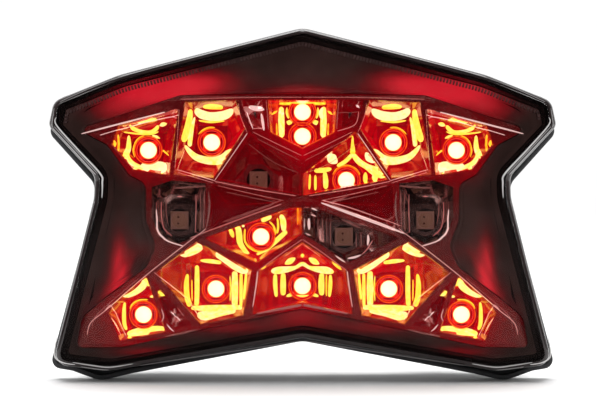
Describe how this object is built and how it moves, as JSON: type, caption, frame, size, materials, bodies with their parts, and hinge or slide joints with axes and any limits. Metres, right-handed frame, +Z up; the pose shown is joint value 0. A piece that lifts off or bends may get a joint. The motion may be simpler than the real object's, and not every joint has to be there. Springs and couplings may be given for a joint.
{
  "type": "tail light",
  "caption": "Sealed LED motorcycle tail light with a smoked bow-tie shaped lens, a faceted multi-cell reflector and built-in turn signals.",
  "frame": {"origin": "centre of the four mounting bolts, on the plane that the rubber mounting pads rest against", "axes": "+X to the right seen from behind the motorcycle, +Z up, the lens faces -Y and the bolts leave along +Y"},
  "size_m": [0.1396, 0.06, 0.0968],
  "materials": {
    "smoked_lens": "smoked clear plastic, polished",
    "housing_plastic": "fine moulded grain, black",
    "sealant": "matt black butyl",
    "bezel_plastic": "dark smoked metallised plastic, satin",
    "reflector_metallising": "vacuum metallised, bright",
    "board": "white solder resist",
    "led_body": "moulded, satin",
    "tail_led_light": "clear resin, lit red",
    "turn_led_resin": "clear resin over phosphor, unlit",
    "component_black": "moulded epoxy, matt",
    "capacitor_can": "drawn can, satin",
    "socket_plastic": "glass filled nylon, matt",
    "terminal_brass": "tin flashed, bright",
    "seal_rubber": "matt black rubber",
    "screw_steel": "zinc plated",
    "insert_brass": "turned, knurled",
    "membrane": "felted white membrane"
  },
  "bodies": {
    "root": {"outer_lens": "smoked_lens", "rear_housing": "housing_plastic", "lens_seal": "sealant", "inner_bezel": "bezel_plastic", "reflector": "reflector_metallising", "led_board": "board", "tail_led_bodies": "led_body", "tail_led_windows": "tail_led_light", "left_turn_led_bodies": "led_body", "left_turn_led_windows": "turn_led_resin", "right_turn_led_bodies": "led_body", "right_turn_led_windows": "turn_led_resin", "led_resistors": "component_black", "polarity_diodes": "component_black", "smoothing_capacitors": "capacitor_can", "led_drivers": "component_black", "harness_socket": "socket_plastic", "socket_terminals": "terminal_brass", "socket_seal": "seal_rubber", "board_screws": "screw_steel", "housing_screws": "screw_steel", "screw_seals": "seal_rubber", "mount_inserts": "insert_brass", "mount_pads": "seal_rubber", "vent_cap": "seal_rubber", "vent_membrane": "membrane"}
  },
  "joints": []
}
